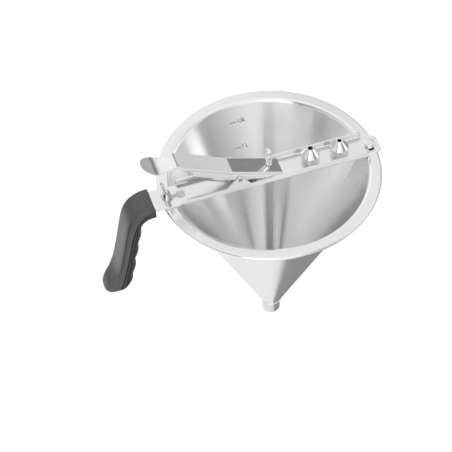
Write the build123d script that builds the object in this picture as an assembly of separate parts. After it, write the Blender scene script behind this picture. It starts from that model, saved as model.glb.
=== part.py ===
from build123d import *
import os
from math import cos, hypot, pi, radians, sin, sqrt, tan

# Piston funnel, in millimetres: a sheet-steel funnel whose outlet is closed by a plug on a rod, and a
# thumb lever on the bridge across its mouth that lifts the rod against a spring.
# The origin is on the funnel's axis at the lower face of the outlet collar, where a nozzle seats.
# Z is up, and X runs along the bridge from the handle to the far end.

# Play, room and overrun
OVERRUN = 2.0
TURNING_PLAY = 0.05
GUIDE_PLAY = 0.1
SEAM = 0.2
SEAT_ROOM = 0.3
FREE_ROOM = 0.4

# Nozzles, and the threaded spigots that carry them
NOZZLE_RADIUS = 8.75
NOZZLE_BARREL = 8.6
NOZZLE_TAPER = 7.8
NOZZLE_WALL = 1.75
NOZZLE_TIP_WALL = 0.7
NOZZLE_LAND = 2.0
NOZZLE_EDGE = 0.6
FITTED_HOLE_RADIUS = 1.5
NEAR_HOLE_RADIUS = 2.5
FAR_HOLE_RADIUS = 2.1
SPIGOT_LENGTH = 6.4

# Outlet collar, valve bore and plug
COLLAR_STEP = 0.25
COLLAR_LIP = 0.7
COLLAR_HEIGHT = 5.4
BORE_ENTRY = 3.5
PLUG_RADIUS = 4.0
PLUG_LENGTH = 7.0
PLUG_CHAMFER = 1.2

# Funnel: spun cone, flat rim and rolled edge
FUNNEL_SHEET = 1.2
MOUTH_RADIUS = 93.9
CONE_HEIGHT = 188.0
RIM_WIDTH = 12.1
MOUTH_BEND = 3.0
HEM_RADIUS = 1.6
HEM_NECK = 0.5

# Bridge: folded channel, tang, tongue and pivot ears
BRIDGE_SHEET = 1.5
BRIDGE_BEND = 1.0
BRIDGE_WIDTH = 27.5
BRIDGE_FLANGE = 7.0
CHANNEL_INSET = 5.9
CHANNEL_OVERLAP = 2.1
FLANGE_CORNER = 3.0
RELIEF_RADIUS = 1.3
TANG_STEP = 1.25
TANG_SHOULDER = 4.5
TANG_INSET = 11.0
TONGUE_STEP = 3.25
TONGUE_PAST_STUD = 9.5
TONGUE_CORNER = 4.0
STUD_FROM_EDGE = 6.0
KEYHOLE_RADIUS = 4.75
KEYHOLE_SLOT = 13.0
EAR_HEEL = 12.5
EAR_TOE = 10.8
EAR_CROWN = 3.3

# Lever: folded thumb lever, measured from its pivot
PIVOT_BEHIND_ROD = 32.5
PIVOT_HEIGHT = 15.8
PIN_RADIUS = 1.5
PIN_HEAD_RADIUS = 2.3
PIN_HEAD = 0.8
LEVER_SHEET = 1.2
LEVER_BEND = 1.3
LEVER_SIDE_ROOM = 1.0
NOSE_REACH = 43.0
NOSE_LIP = 3.2
NOSE_CLEARANCE = 1.3
KNEE_REACH = 5.7
ARM_LENGTH = 52.1
ARM_SLOPE_ANGLE = 26.5
PAD_LENGTH = 18.2
PAD_FALL = 1.4
TIP_LENGTH = 14.4
TIP_RISE = 6.7
KNEE_BEND = 14.0
HEEL_BEND = 4.0
PAD_BEND = 16.0
NECK_STEP = 2.65
NECK_LENGTH = 9.5
PAD_RADIUS = 11.4
SKIRT_RELIEF = 0.8
SKIRT_TAPER = 11.0
SKIRT_DEPTH = 7.7
PIVOT_FLOOR = 3.6
SLOT_AHEAD = 0.45
SLOT_BEHIND = 1.25

# Return spring
SPRING_WIRE = 1.2
SPRING_ROOM = 0.3
SPRING_PITCH = 1.9
SPRING_TURNS = 4
SPRING_REAR = 7.1
FLOOR_LEG_FALL = 20.0
FLOOR_LEG_RUN = 14.0
FLOOR_LEG_BEND = 9.0
LEVER_LEG = 24.0

# Piston rod and knob
ROD_RADIUS = 3.0
STUD_RADIUS = 1.75
ROD_TENON_RADIUS = 1.5
ROD_TENON = 4.0
KNOB_STEM_RADIUS = 2.8
KNOB_STEM = 9.0
KNOB_COLLAR_RADIUS = 3.7
KNOB_COLLAR = 2.6
KNOB_BALL_RADIUS = 3.4
KNOB_HEIGHT = 20.2
KNOB_SOCKET = 7.0
KNOB_EDGE = 0.5

# Studs and wing nut
CLAMP_STUD_RADIUS = 2.0
CLAMP_STUD_HEIGHT = 12.0
STUD_CHAMFER = 0.6
CATCH_STUD_RADIUS = 2.5
CATCH_HEAD_RADIUS = 5.2
CATCH_HEAD = 3.4
CATCH_HEAD_ROUND = 1.4
WING_HUB_RADIUS = 4.4
WING_HUB_TOP_RADIUS = 3.3
WING_HUB_HEIGHT = 7.0
WING_TURN = 12.0
WING_SHEET = 1.8
WING_ROOT_RADIUS = 1.7
WING_ROOT_HEIGHT = 3.4
WING_LOBE_RADIUS = 2.9
WING_LOBE_REACH = 9.0
WING_LOBE_HEIGHT = 8.6

# Spare nozzles on the bridge
FAR_POST_TO_STUD = 30.0
POST_SPACING = 29.0

# Handle: two moulded halves that meet at a seam
HANDLE_CLEARANCE = 8.5
HANDLE_REACH = 54.5
HANDLE_DROP = 112.0
HANDLE_STEP = 0.75
BUTT_DOME = 1.8
FINGER_WIDTH = 17.5
FINGER_DEPTH = 2.2

# Handle lines as shares of its reach, outwards, and of its drop, downwards from under the tang
BACK_LINE_SHARES = (
    (0.022, -0.064),
    (0.23, -0.05),
    (0.40, 0.0),
    (0.50, 0.09),
    (0.59, 0.30),
    (0.69, 0.55),
    (0.76, 0.675),
    (0.89, 0.79),
    (0.988, 0.872),
)
SEAM_LINE_SHARES = (
    (0.0, 0.0),
    (0.27, 0.08),
    (0.385, 0.19),
    (0.475, 0.385),
    (0.61, 0.675),
    (0.71, 0.84),
    (0.76, 0.914),
)
GRIP_LINE_SHARES = (
    (0.0, 0.077),
    (0.135, 0.10),
    (0.22, 0.135),
    (0.264, 0.19),
    (0.28, 0.29),
    (0.355, 0.49),
    (0.42, 0.64),
    (0.50, 0.81),
    (0.60, 0.875),
    (0.76, 0.914),
)
FINGER_PLACE_SHARES = (0.185, 0.35, 0.54, 0.70)
BACK_ROUND_SHARE = 0.047
GRIP_ROUND_SHARE = 0.09
BUTT_CORNER_SHARE = 0.46
BUTT_STEPS = 8

# Heights and places that follow from the sizes above
CONE_FOOT = COLLAR_HEIGHT
RIM = CONE_FOOT + CONE_HEIGHT
RIM_RADIUS = MOUTH_RADIUS + RIM_WIDTH
FLOOR = RIM + BRIDGE_SHEET
NOZZLE_HEIGHT = NOZZLE_BARREL + NOZZLE_TAPER
NOZZLE_TIP_RADIUS = NEAR_HOLE_RADIUS + NOZZLE_TIP_WALL
SPIGOT_RADIUS = NOZZLE_RADIUS - NOZZLE_WALL
COLLAR_RADIUS = NOZZLE_RADIUS + COLLAR_STEP
OUTLET_RADIUS = COLLAR_RADIUS - COLLAR_LIP
BORE_RADIUS = PLUG_RADIUS + TURNING_PLAY
PLUG_TOP = CONE_FOOT - BORE_ENTRY
STUD_CIRCLE_RADIUS = RIM_RADIUS - STUD_FROM_EDGE
FAR_POST_X = STUD_CIRCLE_RADIUS - FAR_POST_TO_STUD
NEAR_POST_X = FAR_POST_X - POST_SPACING
CHANNEL_START = CHANNEL_INSET - MOUTH_RADIUS
CHANNEL_END = MOUTH_RADIUS + CHANNEL_OVERLAP
KEYHOLE_X = KEYHOLE_SLOT - STUD_CIRCLE_RADIUS
TONGUE_END = STUD_CIRCLE_RADIUS + TONGUE_PAST_STUD
HANDLE_START = -RIM_RADIUS - HANDLE_CLEARANCE
HANDLE_WIDTH = BRIDGE_WIDTH - 2 * HANDLE_STEP
BUTT_CORNER = HANDLE_WIDTH * BUTT_CORNER_SHARE
BACK_ROUND = HANDLE_REACH * BACK_ROUND_SHARE
GRIP_ROUND = HANDLE_REACH * GRIP_ROUND_SHARE
TANG_WIDTH = BRIDGE_WIDTH - 2 * TANG_STEP
TANG_INSET_WIDTH = TANG_WIDTH - 2 * TANG_SHOULDER
TONGUE_WIDTH = BRIDGE_WIDTH - 2 * TONGUE_STEP
BRIDGE_HALF = BRIDGE_WIDTH / 2
LEVER_WIDTH = BRIDGE_WIDTH - 2 * (BRIDGE_SHEET + LEVER_SIDE_ROOM)
LEVER_HALF = LEVER_WIDTH / 2
NECK_HALF = LEVER_HALF - NECK_STEP
PIVOT_X = -PIVOT_BEHIND_ROD
PIVOT_Z = RIM + PIVOT_HEIGHT
SPRING_RADIUS = PIN_RADIUS + SPRING_ROOM + SPRING_WIRE / 2
ARM_ANGLE = radians(ARM_SLOPE_ANGLE)
ARM_OFFSET = SPRING_RADIUS + SPRING_WIRE / 2 + FREE_ROOM + LEVER_SHEET
KNEE_RISE = (ARM_OFFSET + KNEE_REACH * sin(ARM_ANGLE)) / cos(ARM_ANGLE)
NOSE = (PIVOT_X + NOSE_REACH, FLOOR + NOSE_CLEARANCE + NOSE_LIP)
KNEE = (PIVOT_X - KNEE_REACH, PIVOT_Z + KNEE_RISE)
HEEL = (KNEE[0] - ARM_LENGTH, KNEE[1] + ARM_LENGTH * tan(ARM_ANGLE))
PAD = (HEEL[0] - PAD_LENGTH, HEEL[1] - PAD_FALL)
TIP = (PAD[0] - TIP_LENGTH, PAD[1] + TIP_RISE)
SKIRT_X = HEEL[0] + NECK_LENGTH
NOSE_SLOPE = (KNEE[1] - NOSE[1]) / (NOSE[0] - KNEE[0])
PLATE_AT_ROD = NOSE[1] + NOSE_SLOPE * NOSE[0]
PLATE_UNDER_ROD = PLATE_AT_ROD - LEVER_SHEET * hypot(NOSE_SLOPE, 1)
ROD_SHOULDER = PLATE_UNDER_ROD - NOSE_SLOPE * ROD_RADIUS - FREE_ROOM
KNOB_FOOT = PLATE_AT_ROD + NOSE_SLOPE * KNOB_STEM_RADIUS + FREE_ROOM


def turned(*outline):
    """A solid of revolution about Z, from an outline of (radius, height) points."""
    return revolve(Plane.XZ * make_face(Polyline(*outline, close=True)), Axis.Z)


def nearest_corner(sketch, point):
    """The corner of a flat sketch that lies nearest to a point."""
    return min(sketch.vertices(), key=lambda corner: hypot(corner.X - point[0], corner.Y - point[1]))


def rounded_corner(sketch, point, radius):
    """A flat sketch with the corner nearest to a point rounded."""
    return fillet(nearest_corner(sketch, point), radius)


def upright_slab(sketch, width):
    """A sketch of (x, z) points drawn out to both sides of the bridge's middle plane."""
    return extrude(Plane.XZ.offset(-width / 2) * sketch, amount=width)


def funnel_body():
    """Spun cone with its rim bent out flat and the rim's edge rolled."""
    slope = (MOUTH_RADIUS - OUTLET_RADIUS) / CONE_HEIGHT
    level_wall = FUNNEL_SHEET * hypot(slope, 1)
    mouth_corner = (MOUTH_RADIUS, RIM)
    under_corner = (MOUTH_RADIUS + level_wall - FUNNEL_SHEET * slope, RIM - FUNNEL_SHEET)
    hem_centre = RIM_RADIUS - HEM_RADIUS
    sheet = make_face(
        Polyline(
            (OUTLET_RADIUS, CONE_FOOT),
            mouth_corner,
            (hem_centre, RIM),
            (hem_centre, RIM - FUNNEL_SHEET),
            under_corner,
            (OUTLET_RADIUS + level_wall, CONE_FOOT),
            close=True,
        )
    )
    sheet = rounded_corner(sheet, mouth_corner, MOUTH_BEND + FUNNEL_SHEET)
    sheet = rounded_corner(sheet, under_corner, MOUTH_BEND)
    hem = Pos(hem_centre, RIM - HEM_RADIUS) * Circle(HEM_RADIUS)
    section = rounded_corner(sheet + hem, (hem_centre - HEM_RADIUS, RIM - FUNNEL_SHEET), HEM_NECK)
    return revolve(Plane.XZ * section, Axis.Z)


def outlet_socket():
    """Collar under the cone, with the valve bore and the spigot that a nozzle screws onto."""
    return turned(
        (BORE_RADIUS, -SPIGOT_LENGTH),
        (SPIGOT_RADIUS, -SPIGOT_LENGTH),
        (SPIGOT_RADIUS, 0),
        (COLLAR_RADIUS, 0),
        (COLLAR_RADIUS, CONE_FOOT),
        (OUTLET_RADIUS, CONE_FOOT),
        (BORE_RADIUS, PLUG_TOP),
    )


def nozzle(hole_radius):
    """A nozzle with its tip upwards and the open end of its barrel at height zero."""
    inside = SPIGOT_RADIUS + TURNING_PLAY
    shoulder = (NOZZLE_RADIUS, NOZZLE_BARREL)
    tip = (NOZZLE_TIP_RADIUS, NOZZLE_HEIGHT)
    section = make_face(
        Polyline(
            (inside, 0),
            (NOZZLE_RADIUS, 0),
            shoulder,
            tip,
            (hole_radius, NOZZLE_HEIGHT),
            (hole_radius, NOZZLE_HEIGHT - NOZZLE_LAND),
            (inside, SPIGOT_LENGTH + SEAT_ROOM),
            close=True,
        )
    )
    section = rounded_corner(section, shoulder, NOZZLE_EDGE)
    section = rounded_corner(section, tip, NOZZLE_TIP_WALL / 2)
    return revolve(Plane.XZ * section, Axis.Z)


def fitted_nozzle():
    """The nozzle on the outlet, tip down."""
    return Pos(0, 0, -SEAM) * Rot(180, 0, 0) * nozzle(FITTED_HOLE_RADIUS)


def spare_nozzle(post_x, hole_radius):
    """A nozzle stored tip up on the bridge."""
    return Pos(post_x, 0, FLOOR + SEAM) * nozzle(hole_radius)


def nozzle_post(post_x):
    """Threaded post on the bridge floor that a spare nozzle screws onto."""
    post = Pos(post_x, 0, FLOOR) * Cylinder(
        SPIGOT_RADIUS, SPIGOT_LENGTH, align=(Align.CENTER, Align.CENTER, Align.MIN)
    )
    return chamfer(post.edges().sort_by(Axis.Z)[-1], STUD_CHAMFER)


def pivot_ear():
    """Side view of a pivot ear, from inside the flange up to its round crown."""
    flange_top = RIM + BRIDGE_FLANGE
    heel = PIVOT_X - EAR_HEEL
    toe = PIVOT_X + EAR_TOE
    crown = Pos(PIVOT_X, PIVOT_Z) * Circle(EAR_CROWN)
    foot = Polyline((heel, flange_top), (toe, flange_top), (toe, FLOOR), (heel, FLOOR), close=True)
    return make_hull(crown.edges() + foot.edges())


def bridge():
    """Folded channel across the mouth, with pivot ears, tang, keyhole, tongue and notch."""
    outer_bend = BRIDGE_BEND + BRIDGE_SHEET
    wall = BRIDGE_HALF - BRIDGE_SHEET
    top = RIM + BRIDGE_FLANGE
    section = make_face(
        Polyline(
            (-BRIDGE_HALF, top),
            (-BRIDGE_HALF, RIM),
            (BRIDGE_HALF, RIM),
            (BRIDGE_HALF, top),
            (wall, top),
            (wall, FLOOR),
            (-wall, FLOOR),
            (-wall, top),
            close=True,
        )
    )
    for side in (-1, 1):
        section = rounded_corner(section, (side * BRIDGE_HALF, RIM), outer_bend)
        section = rounded_corner(section, (side * wall, FLOOR), BRIDGE_BEND)
    channel = Pos(CHANNEL_START, 0, 0) * extrude(Plane.YZ * section, amount=CHANNEL_END - CHANNEL_START)
    end_corners = channel.edges().filter_by(Axis.Y).filter_by(lambda edge: edge.center().Z > top - SEAM)
    channel = fillet(end_corners, FLANGE_CORNER)

    between_ears = BRIDGE_WIDTH - 2 * BRIDGE_SHEET
    ears = upright_slab(pivot_ear(), BRIDGE_WIDTH) - upright_slab(pivot_ear(), between_ears)
    floor_outline = tang_outline() + tongue_outline()
    floor = Pos(0, 0, RIM) * extrude(floor_outline, amount=BRIDGE_SHEET)
    hole_depth = BRIDGE_SHEET + BRIDGE_FLANGE + OVERRUN
    holes = Pos(0, 0, RIM - OVERRUN) * extrude(bridge_holes(), amount=hole_depth)
    pin_hole = Pos(PIVOT_X, 0, PIVOT_Z) * Rot(90, 0, 0) * Cylinder(PIN_RADIUS, BRIDGE_WIDTH + OVERRUN)
    return channel + ears + floor - holes - pin_hole


def strip(start, end, width):
    """A flat strip along X, centred on the bridge's middle plane."""
    return Pos(start, 0) * Rectangle(end - start, width, align=(Align.MIN, Align.CENTER))


def tang_outline():
    """Plan of the floor's handle end: a wide tang, stepped in where the handle holds it."""
    wide = strip(HANDLE_START, CHANNEL_START + OVERRUN, TANG_WIDTH)
    inset = strip(HANDLE_START - TANG_INSET, HANDLE_START + OVERRUN, TANG_INSET_WIDTH)
    return wide + inset


def tongue_outline():
    """Plan of the floor's far end: a tongue with round corners."""
    tongue = strip(CHANNEL_END - OVERRUN, TONGUE_END, TONGUE_WIDTH)
    return fillet(tongue.vertices().group_by(Axis.X)[-1], TONGUE_CORNER)


def bridge_holes():
    """Plan of what is cut through the floor: rod hole, keyhole, notch and bend reliefs."""
    stud_room = CLAMP_STUD_RADIUS + FREE_ROOM
    notch_room = CATCH_STUD_RADIUS + FREE_ROOM
    rod_hole = Circle(ROD_RADIUS + GUIDE_PLAY)
    keyhole = Pos(KEYHOLE_X, 0) * Circle(KEYHOLE_RADIUS)
    keyhole += Pos(-STUD_CIRCLE_RADIUS, 0) * Circle(stud_room)
    keyhole += strip(-STUD_CIRCLE_RADIUS, KEYHOLE_X, 2 * stud_room)
    notch = Pos(STUD_CIRCLE_RADIUS, 0) * Circle(notch_room)
    notch += Pos(STUD_CIRCLE_RADIUS, 0) * Rectangle(
        2 * notch_room, TONGUE_WIDTH, align=(Align.CENTER, Align.MAX)
    )
    holes = rod_hole + keyhole + notch
    for side in (-1, 1):
        holes += Pos(CHANNEL_START, side * TANG_WIDTH / 2) * Circle(RELIEF_RADIUS)
    return holes


def lever_top_line():
    """The lever's top surface seen from the side, from its nose to the curled tip of its pad."""
    return FilletPolyline(NOSE, KNEE, HEEL, PAD, TIP, radius=(KNEE_BEND, HEEL_BEND, PAD_BEND))


def lever_plan():
    """Plan of the lever: wide where its sides fold down, drawn in to a neck, then a round pad."""
    pad_centre = TIP[0] + PAD_RADIUS
    half_outline = [
        (NOSE[0], LEVER_HALF),
        (SKIRT_X, LEVER_HALF),
        (HEEL[0], NECK_HALF),
        (pad_centre, PAD_RADIUS),
    ]
    mirrored = [(x, -y) for x, y in reversed(half_outline)]
    plan = make_face(Polyline(*half_outline, *mirrored, close=True))
    plan += Pos(pad_centre, 0) * Circle(PAD_RADIUS)
    for side in (-1, 1):
        plan -= Pos(SKIRT_X, side * LEVER_HALF) * Circle(SKIRT_RELIEF)
    return plan


def lever_skirt():
    """Side view of the lever where its sides fold down, from its top line to its lower edge."""
    along = Vector(cos(ARM_ANGLE), -sin(ARM_ANGLE))
    under = Vector(-sin(ARM_ANGLE), -cos(ARM_ANGLE))
    start = Vector(*KNEE) - along * ((KNEE[0] - SKIRT_X) / cos(ARM_ANGLE))
    corner = start + along * SKIRT_TAPER + under * SKIRT_DEPTH
    below_pivot = (PIVOT_X, PIVOT_Z - PIVOT_FLOOR)
    outline = Polyline(start, KNEE, NOSE, (NOSE[0], NOSE[1] - NOSE_LIP), below_pivot, corner, close=True)
    face = rounded_corner(make_face(outline), KNEE, KNEE_BEND)
    return rounded_corner(face, below_pivot, SKIRT_DEPTH)


def lever():
    """Folded thumb lever with side skirts, pivot holes and the slot for the rod's stud."""
    sheet = make_face(offset(lever_top_line(), LEVER_SHEET, side=Side.LEFT))
    plate = upright_slab(sheet, LEVER_WIDTH + 2 * OVERRUN)
    plate &= Pos(0, 0, RIM) * extrude(lever_plan(), amount=TIP[1] - RIM + OVERRUN)
    skirt = lever_skirt()
    folded = upright_slab(skirt, LEVER_WIDTH)
    top_edges = folded.edges().filter_by(
        lambda edge: abs(abs(edge.center().Y) - LEVER_HALF) < SEAM and on_top_line(edge.center())
    )
    folded = fillet(top_edges, LEVER_BEND + LEVER_SHEET)
    folded -= upright_slab(skirt - sheet, LEVER_WIDTH - 2 * LEVER_SHEET)
    plate -= upright_slab(skirt, LEVER_WIDTH + 2 * OVERRUN)
    pin_hole = Pos(PIVOT_X, 0, PIVOT_Z) * Rot(90, 0, 0) * Cylinder(PIN_RADIUS + TURNING_PLAY, BRIDGE_WIDTH)
    return plate + folded - pin_hole - rod_slot()


def on_top_line(point):
    """Whether a point lies on the lever's top surface between its nose and its heel."""
    nose_line = NOSE[1] + NOSE_SLOPE * (NOSE[0] - point.X)
    arm_line = KNEE[1] + tan(ARM_ANGLE) * (KNEE[0] - point.X)
    return abs(point.Z - max(nose_line, arm_line)) < SEAM


def rod_slot():
    """Slot through the lever's plate for the rod's stud, longer than wide for the lever's swing."""
    half_width = STUD_RADIUS + FREE_ROOM
    slot = strip(-SLOT_BEHIND, SLOT_AHEAD, 2 * half_width)
    slot += Pos(-SLOT_BEHIND, 0) * Circle(half_width)
    slot += Pos(SLOT_AHEAD, 0) * Circle(half_width)
    return Pos(0, 0, FLOOR) * extrude(slot, amount=PIVOT_HEIGHT)


def pivot_pin():
    """Riveted pin through both ears and the lever's skirts."""
    pin = Cylinder(PIN_RADIUS, BRIDGE_WIDTH)
    for side in (-1, 1):
        head = Cylinder(PIN_HEAD_RADIUS, PIN_HEAD)
        head = fillet(head.edges().sort_by(Axis.Z)[-1 if side > 0 else 0], PIN_HEAD / 2)
        pin += Pos(0, 0, side * (BRIDGE_WIDTH + PIN_HEAD) / 2) * head
    return Pos(PIVOT_X, 0, PIVOT_Z) * Rot(90, 0, 0) * pin


def coil_point(angle, start_angle):
    """Place on the spring's coil, wound about the pivot axis and towards the front as it turns."""
    lead = SPRING_PITCH * (angle - start_angle) / (2 * pi)
    return Vector(
        PIVOT_X + SPRING_RADIUS * cos(angle), SPRING_REAR - lead, PIVOT_Z + SPRING_RADIUS * sin(angle)
    )


def coil_direction(angle):
    """Direction of the coil's wire at an angle."""
    lead = SPRING_PITCH / (2 * pi)
    return Vector(-SPRING_RADIUS * sin(angle), -lead, SPRING_RADIUS * cos(angle)).normalized()


def biarc(start, start_way, end, end_way):
    """Two arcs that leave start along start_way and reach end along end_way."""
    chord = end - start
    ways = start_way + end_way
    square = 2 * (1 - start_way.dot(end_way))
    middle = chord.dot(ways)
    reach = (sqrt(middle * middle + square * chord.dot(chord)) - middle) / square
    first = start + start_way * reach
    second = end - end_way * reach
    joint = (first + second) / 2
    return [TangentArc(start, joint, tangent=start_way), TangentArc(joint, end, tangent=second - first)]


def spring_path():
    """The spring's wire line: floor leg, bend, coil and the leg under the lever's arm."""
    start_angle = radians(FLOOR_LEG_FALL) - pi / 2
    end_angle = pi / 2 - ARM_ANGLE + 2 * pi * SPRING_TURNS
    coil_start = coil_point(start_angle, start_angle)
    into_coil = coil_direction(start_angle)
    drop = coil_start.Z - (FLOOR + SEAT_ROOM + SPRING_WIRE / 2)
    corner = coil_start - into_coil * (drop / into_coil.Z)
    back = Vector(-1, 0, 0)
    bend = FLOOR_LEG_BEND * sin(radians(FLOOR_LEG_FALL) / 2)
    floor_end = corner + back * FLOOR_LEG_RUN
    bend_start = corner + back * bend
    bend_end = corner + into_coil * bend
    edges = [
        Line(floor_end, bend_start),
        TangentArc(bend_start, bend_end, tangent=-back),
        Line(bend_end, coil_start),
    ]
    quarters = 4 * SPRING_TURNS + 2
    step = (end_angle - start_angle) / quarters
    for quarter in range(quarters):
        angle = start_angle + quarter * step
        edges += biarc(
            coil_point(angle, start_angle),
            coil_direction(angle),
            coil_point(angle + step, start_angle),
            coil_direction(angle + step),
        )
    coil_end = coil_point(end_angle, start_angle)
    edges.append(Line(coil_end, coil_end + coil_direction(end_angle) * LEVER_LEG))
    return Wire([edge.edges()[0] for edge in edges])


def least_self_gap(path, wire):
    """The least clear gap between stretches of a wire that lie a turn or so apart along it."""
    count = int(path.length / (wire / 2))
    points = [path.position_at(index / count) for index in range(count + 1)]
    apart = int(pi * SPRING_RADIUS / (wire / 2))
    gaps = [
        (points[first] - points[second]).length
        for first in range(count + 1)
        for second in range(first + apart, count + 1)
    ]
    return min(gaps) - wire


def return_spring():
    """Torsion spring round the pivot pin, as one unbroken wire."""
    path = spring_path()
    print(f"return_spring least gap to itself: {least_self_gap(path, SPRING_WIRE):.2f} mm")
    section = Plane(origin=path @ 0, z_dir=path % 0) * Circle(SPRING_WIRE / 2)
    return sweep(section, path=path)


def piston_rod():
    """Rod from the plug to the lever, with a tenon in the plug and a stud through the lever's slot."""
    return turned(
        (0, PLUG_TOP - ROD_TENON),
        (ROD_TENON_RADIUS, PLUG_TOP - ROD_TENON),
        (ROD_TENON_RADIUS, PLUG_TOP),
        (ROD_RADIUS, PLUG_TOP),
        (ROD_RADIUS, ROD_SHOULDER),
        (STUD_RADIUS, ROD_SHOULDER),
        (STUD_RADIUS, KNOB_FOOT + KNOB_SOCKET - SEAT_ROOM),
        (0, KNOB_FOOT + KNOB_SOCKET - SEAT_ROOM),
    )


def piston_plug():
    """Valve plug on the rod's tenon, a running fit in the collar's bore."""
    bottom = PLUG_TOP - PLUG_LENGTH
    hole_radius = ROD_TENON_RADIUS + TURNING_PLAY
    hole_end = PLUG_TOP - ROD_TENON - SEAT_ROOM
    return turned(
        (0, bottom),
        (PLUG_RADIUS - PLUG_CHAMFER, bottom),
        (PLUG_RADIUS, bottom + PLUG_CHAMFER),
        (PLUG_RADIUS, PLUG_TOP),
        (hole_radius, PLUG_TOP),
        (hole_radius, hole_end),
        (0, hole_end),
    )


def rod_knob():
    """Turned knob on the rod's stud: a stem, a collar and a ball."""
    collar_top = KNOB_STEM + KNOB_COLLAR
    stem = turned(
        (STUD_RADIUS + TURNING_PLAY, 0),
        (KNOB_STEM_RADIUS, 0),
        (KNOB_STEM_RADIUS, KNOB_STEM - KNOB_COLLAR),
        (KNOB_COLLAR_RADIUS, KNOB_STEM),
        (KNOB_COLLAR_RADIUS, collar_top),
        (KNOB_STEM_RADIUS, collar_top),
        (0, KNOB_HEIGHT - KNOB_BALL_RADIUS),
        (0, KNOB_SOCKET),
        (STUD_RADIUS + TURNING_PLAY, KNOB_SOCKET),
    )
    collar_rings = stem.edges().filter_by(GeomType.CIRCLE).filter_by(
        lambda ring: ring.radius > KNOB_STEM_RADIUS + TURNING_PLAY
    )
    stem = fillet(collar_rings, KNOB_EDGE)
    ball = Pos(0, 0, KNOB_HEIGHT - KNOB_BALL_RADIUS) * Sphere(KNOB_BALL_RADIUS)
    return Pos(0, 0, KNOB_FOOT) * (stem + ball)


def clamp_stud():
    """Stud on the rim at the handle side."""
    stud = Pos(-STUD_CIRCLE_RADIUS, 0, RIM) * Cylinder(
        CLAMP_STUD_RADIUS, CLAMP_STUD_HEIGHT, align=(Align.CENTER, Align.CENTER, Align.MIN)
    )
    return chamfer(stud.edges().sort_by(Axis.Z)[-1], STUD_CHAMFER)


def wing_nut():
    """Wing nut on the clamp stud, tightened with its wings nearly across the bridge."""
    foot = FLOOR + SEAM
    hub = turned(
        (CLAMP_STUD_RADIUS + TURNING_PLAY, 0),
        (WING_HUB_RADIUS, 0),
        (WING_HUB_TOP_RADIUS, WING_HUB_HEIGHT),
        (CLAMP_STUD_RADIUS + TURNING_PLAY, WING_HUB_HEIGHT),
    )
    nut = hub
    for side in (-1, 1):
        root = Pos(side * WING_HUB_TOP_RADIUS, WING_ROOT_HEIGHT) * Circle(WING_ROOT_RADIUS)
        lobe = Pos(side * WING_LOBE_REACH, WING_LOBE_HEIGHT) * Circle(WING_LOBE_RADIUS)
        wing = make_hull(root.edges() + lobe.edges())
        nut += extrude(Plane.YZ * wing, amount=WING_SHEET / 2, both=True)
    nut -= Cylinder(CLAMP_STUD_RADIUS + TURNING_PLAY, WING_HUB_HEIGHT + 2 * OVERRUN)
    return Pos(-STUD_CIRCLE_RADIUS, 0, foot) * Rot(0, 0, WING_TURN) * nut


def catch_stud():
    """Headed stud on the rim at the far side, in the tongue's notch."""
    head_top = FLOOR + CATCH_HEAD
    stud = turned(
        (0, RIM),
        (CATCH_STUD_RADIUS, RIM),
        (CATCH_STUD_RADIUS, FLOOR),
        (CATCH_HEAD_RADIUS, FLOOR),
        (CATCH_HEAD_RADIUS, head_top),
        (0, head_top),
    )
    stud = fillet(stud.edges().sort_by(Axis.Z)[-1], CATCH_HEAD_ROUND)
    return Pos(STUD_CIRCLE_RADIUS, 0, 0) * stud


def handle_points(shares):
    """Places (x, z) on the handle from shares of its reach and drop."""
    top = RIM - SEAM
    return [(HANDLE_START - HANDLE_REACH * out, top - HANDLE_DROP * down) for out, down in shares]


def back_lines():
    """The handle's outer line, and the two arcs that carry it round the butt to the seam."""
    back = Spline(*handle_points(BACK_LINE_SHARES))
    seam_end = Vector(*handle_points(SEAM_LINE_SHARES)[-1])
    return [back, *biarc(back @ 1, back % 1, seam_end, Vector(1, 0))]


def handle_block():
    """The handle seen square to its end, drawn out: straight sides and wide round corners at the butt."""
    back, *butt = back_lines()
    way = (back % 1 + Vector(0, -1)).normalized()
    places = [arc @ (step / BUTT_STEPS) for arc in butt for step in range(BUTT_STEPS + 1)]
    tip = max(places, key=lambda place: place.dot(way)) + way * BUTT_DOME
    outline = Rectangle(HANDLE_WIDTH, 2 * HANDLE_DROP, align=(Align.CENTER, Align.MIN))
    outline = fillet(outline.vertices().group_by(Axis.Y)[0], BUTT_CORNER)
    square_on = Plane(origin=(tip.X, 0, tip.Y), x_dir=(0, 1, 0), z_dir=(-way.Y, 0, way.X))
    return extrude(square_on * outline, amount=HANDLE_DROP, both=True)


def handle_half(outer, edge_round):
    """One half of the handle between its outer edges and the seam, with its long edges rounded."""
    seam = Spline(*handle_points(SEAM_LINE_SHARES))
    outer_line = Wire([edge.edges()[0] for edge in outer])
    face = make_face(outer_line.edges() + seam.edges() + Line(outer_line @ 0, seam @ 0).edges())
    half = upright_slab(face, HANDLE_WIDTH + OVERRUN) & handle_block()

    def off_seam(edge):
        """Whether an edge is curved and lies off the seam."""
        middle = edge @ 0.5
        return edge.geom_type != GeomType.LINE and seam.distance_to(Vertex(middle.X, middle.Z, 0)) > SEAM

    half = fillet(half.edges().filter_by(off_seam), edge_round)
    return half - upright_slab(trace(seam, SEAM), HANDLE_WIDTH + OVERRUN)


def handle_back():
    """Outer half of the handle, with the pocket that holds the bridge's tang."""
    half = handle_half(back_lines(), BACK_ROUND)
    pocket = strip(
        HANDLE_START - TANG_INSET - GUIDE_PLAY, HANDLE_START + OVERRUN, TANG_INSET_WIDTH + 2 * GUIDE_PLAY
    )
    return half - Pos(0, 0, RIM - GUIDE_PLAY) * extrude(pocket, amount=BRIDGE_SHEET + 2 * GUIDE_PLAY)


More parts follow.
